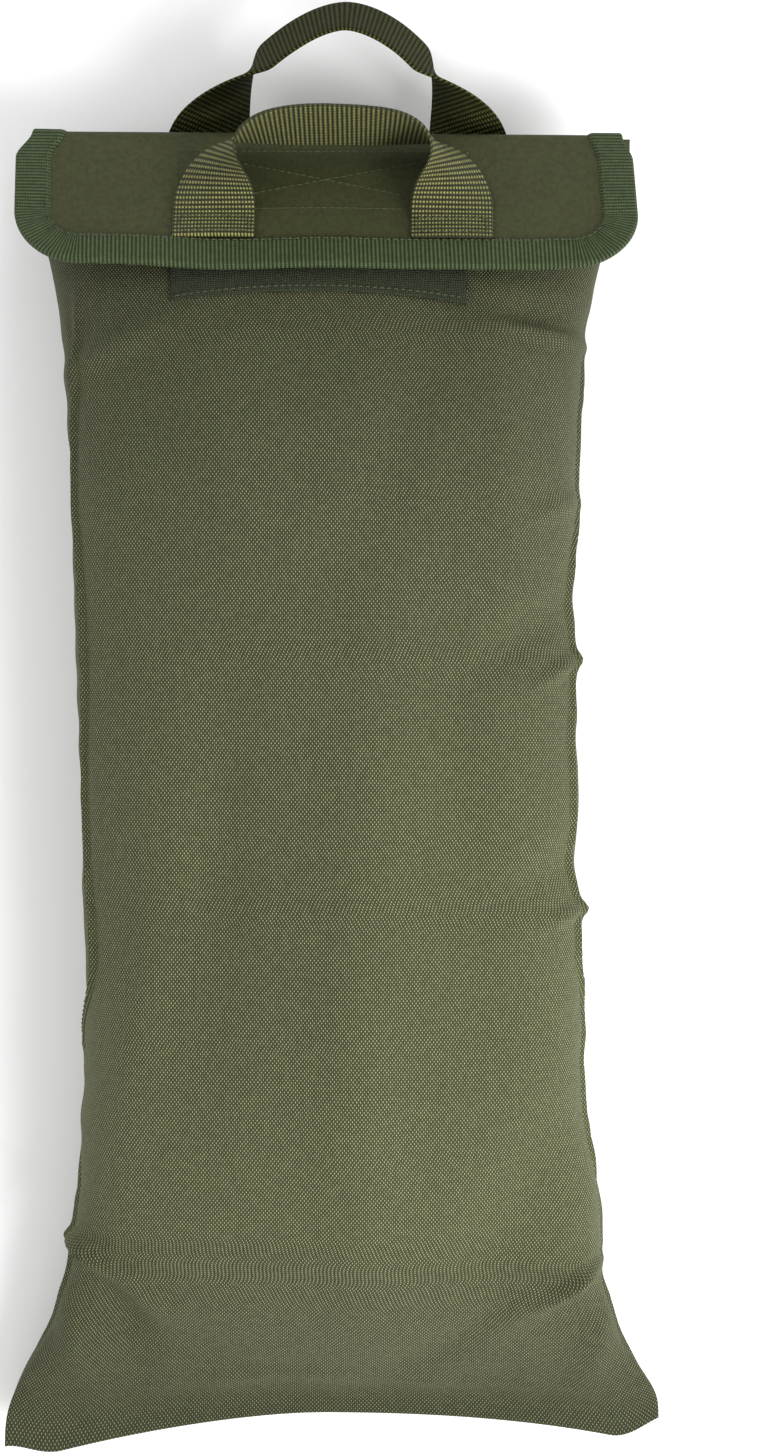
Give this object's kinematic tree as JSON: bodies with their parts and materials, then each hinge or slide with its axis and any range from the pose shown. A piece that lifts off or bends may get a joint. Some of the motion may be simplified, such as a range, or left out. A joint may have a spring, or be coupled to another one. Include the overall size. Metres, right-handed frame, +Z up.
{
  "type": "sandbag",
  "caption": "Long cloth sandbag filled with sand, closed by a hook-and-loop flap, with a webbing handle on the flap and another on the back.",
  "frame": {"origin": "on the surface that the bag lies on, under its middle", "axes": "+X to the bag's right, +Y from the bottom seam to the mouth, +Z up out of the front panel"},
  "size_m": [0.3, 0.6768, 0.1168],
  "materials": {
    "body_cloth": "olive green plain-woven nylon cloth, matt",
    "flap_cloth": "olive green cloth, finer weave",
    "binding_tape": "ribbed green tape",
    "webbing": "coarse olive green webbing",
    "hook_and_loop": "fuzzy dark green hook-and-loop strip",
    "thread": "green nylon thread",
    "liner_film": "cloudy polythene film",
    "sand": "dry sand",
    "cable_tie": "black nylon"
  },
  "bodies": {
    "bag": {"front_panel": "body_cloth", "back_panel": "body_cloth", "side_seam_tape_left": "binding_tape", "side_seam_tape_right": "binding_tape", "bottom_seam_tape": "binding_tape", "mouth_hem_tape": "binding_tape", "loop_strip": "hook_and_loop", "loop_strip_stitching": "thread", "liner_front_film": "liner_film", "liner_back_film": "liner_film", "sand_fill": "sand", "liner_tie": "cable_tie", "flap_hinge_tab": "body_cloth", "back_handle_ends": "webbing", "back_handle_stitching": "thread"},
    "flap_fold": {"flap_riser": "flap_cloth"},
    "flap": {"flap_outer": "flap_cloth", "flap_lining": "flap_cloth", "flap_binding": "binding_tape", "flap_binding_stitching": "thread", "hook_strip": "hook_and_loop", "hook_strip_stitching": "thread", "front_handle_ends": "webbing", "front_handle_stitching": "thread"},
    "front_handle": {"front_handle_loop": "webbing"},
    "back_handle": {"back_handle_loop": "webbing"}
  },
  "joints": [
    {"name": "flap_hinge", "type": "hinge", "parent": "bag", "child": "flap_fold", "pos_m": [0, 0.3052, 0.0385], "axis": [-1, 0, 0], "range_deg": [0, 22]},
    {"name": "flap_bend", "type": "hinge", "parent": "flap_fold", "child": "flap", "pos_m": [0, 0.30268, 0.0517], "axis": [-1, 0, 0], "range_deg": [0, 35.2]},
    {"name": "front_handle_swing", "type": "hinge", "parent": "flap", "child": "front_handle", "pos_m": [0, 0.2626, 0.07748], "axis": [1, 0, 0], "range_deg": [0, 110]},
    {"name": "back_handle_swing", "type": "hinge", "parent": "bag", "child": "back_handle", "pos_m": [0, 0.28361, 0.02615], "axis": [-1, 0, 0], "range_deg": [0, 115]}
  ],
  "couplings": [
    {"joint": "flap_bend", "follows": "flap_hinge", "ratio": 1.6}
  ]
}
